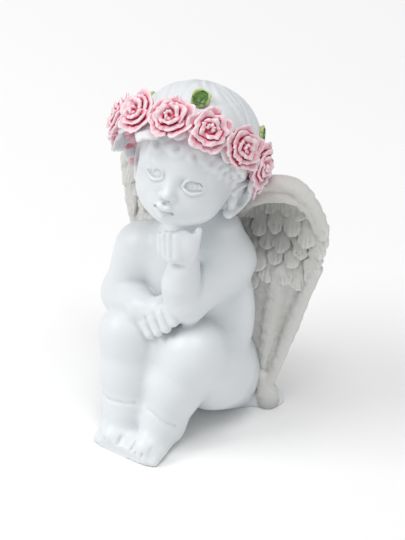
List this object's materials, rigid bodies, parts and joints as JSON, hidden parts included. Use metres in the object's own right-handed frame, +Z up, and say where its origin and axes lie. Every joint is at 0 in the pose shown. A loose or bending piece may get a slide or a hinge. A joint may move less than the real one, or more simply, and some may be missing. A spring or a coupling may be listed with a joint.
{
  "type": "figurine",
  "caption": "Seated resin cherub resting its chin on one hand, with folded wings and a painted rose garland on its head.",
  "frame": {"origin": "on the table plane, under the middle of the figurine's bounding box", "axes": "+Z up; the figure faces -Y; +X is the figure's left side"},
  "size_m": [0.1032, 0.0735, 0.1461],
  "materials": {
    "body_resin": "satin white cast resin with faint pinholes",
    "wing_resin": "matt off-white cast resin, greyer in the engraved feathers",
    "rose_paint": "pink paint, deeper in the creases and rubbed pale on the petal rims",
    "leaf_paint": "glossy green paint with a yellow-green rim",
    "dowel": "plain"
  },
  "bodies": {
    "root": {"body_casting": "body_resin", "head_casting": "body_resin", "neck_dowel": "dowel", "wing_dowels": "dowel", "left_wing": "wing_resin", "right_wing": "wing_resin", "garland_band": "body_resin", "rose_1": "rose_paint", "rose_2": "rose_paint", "rose_3": "rose_paint", "rose_4": "rose_paint", "rose_5": "rose_paint", "rose_6": "rose_paint", "rose_7": "rose_paint", "rose_8": "rose_paint", "rose_9": "rose_paint", "rose_10": "rose_paint", "rose_11": "rose_paint", "rose_12": "rose_paint", "leaf_1": "leaf_paint", "leaf_2": "leaf_paint", "leaf_3": "leaf_paint", "leaf_4": "leaf_paint"}
  },
  "joints": []
}
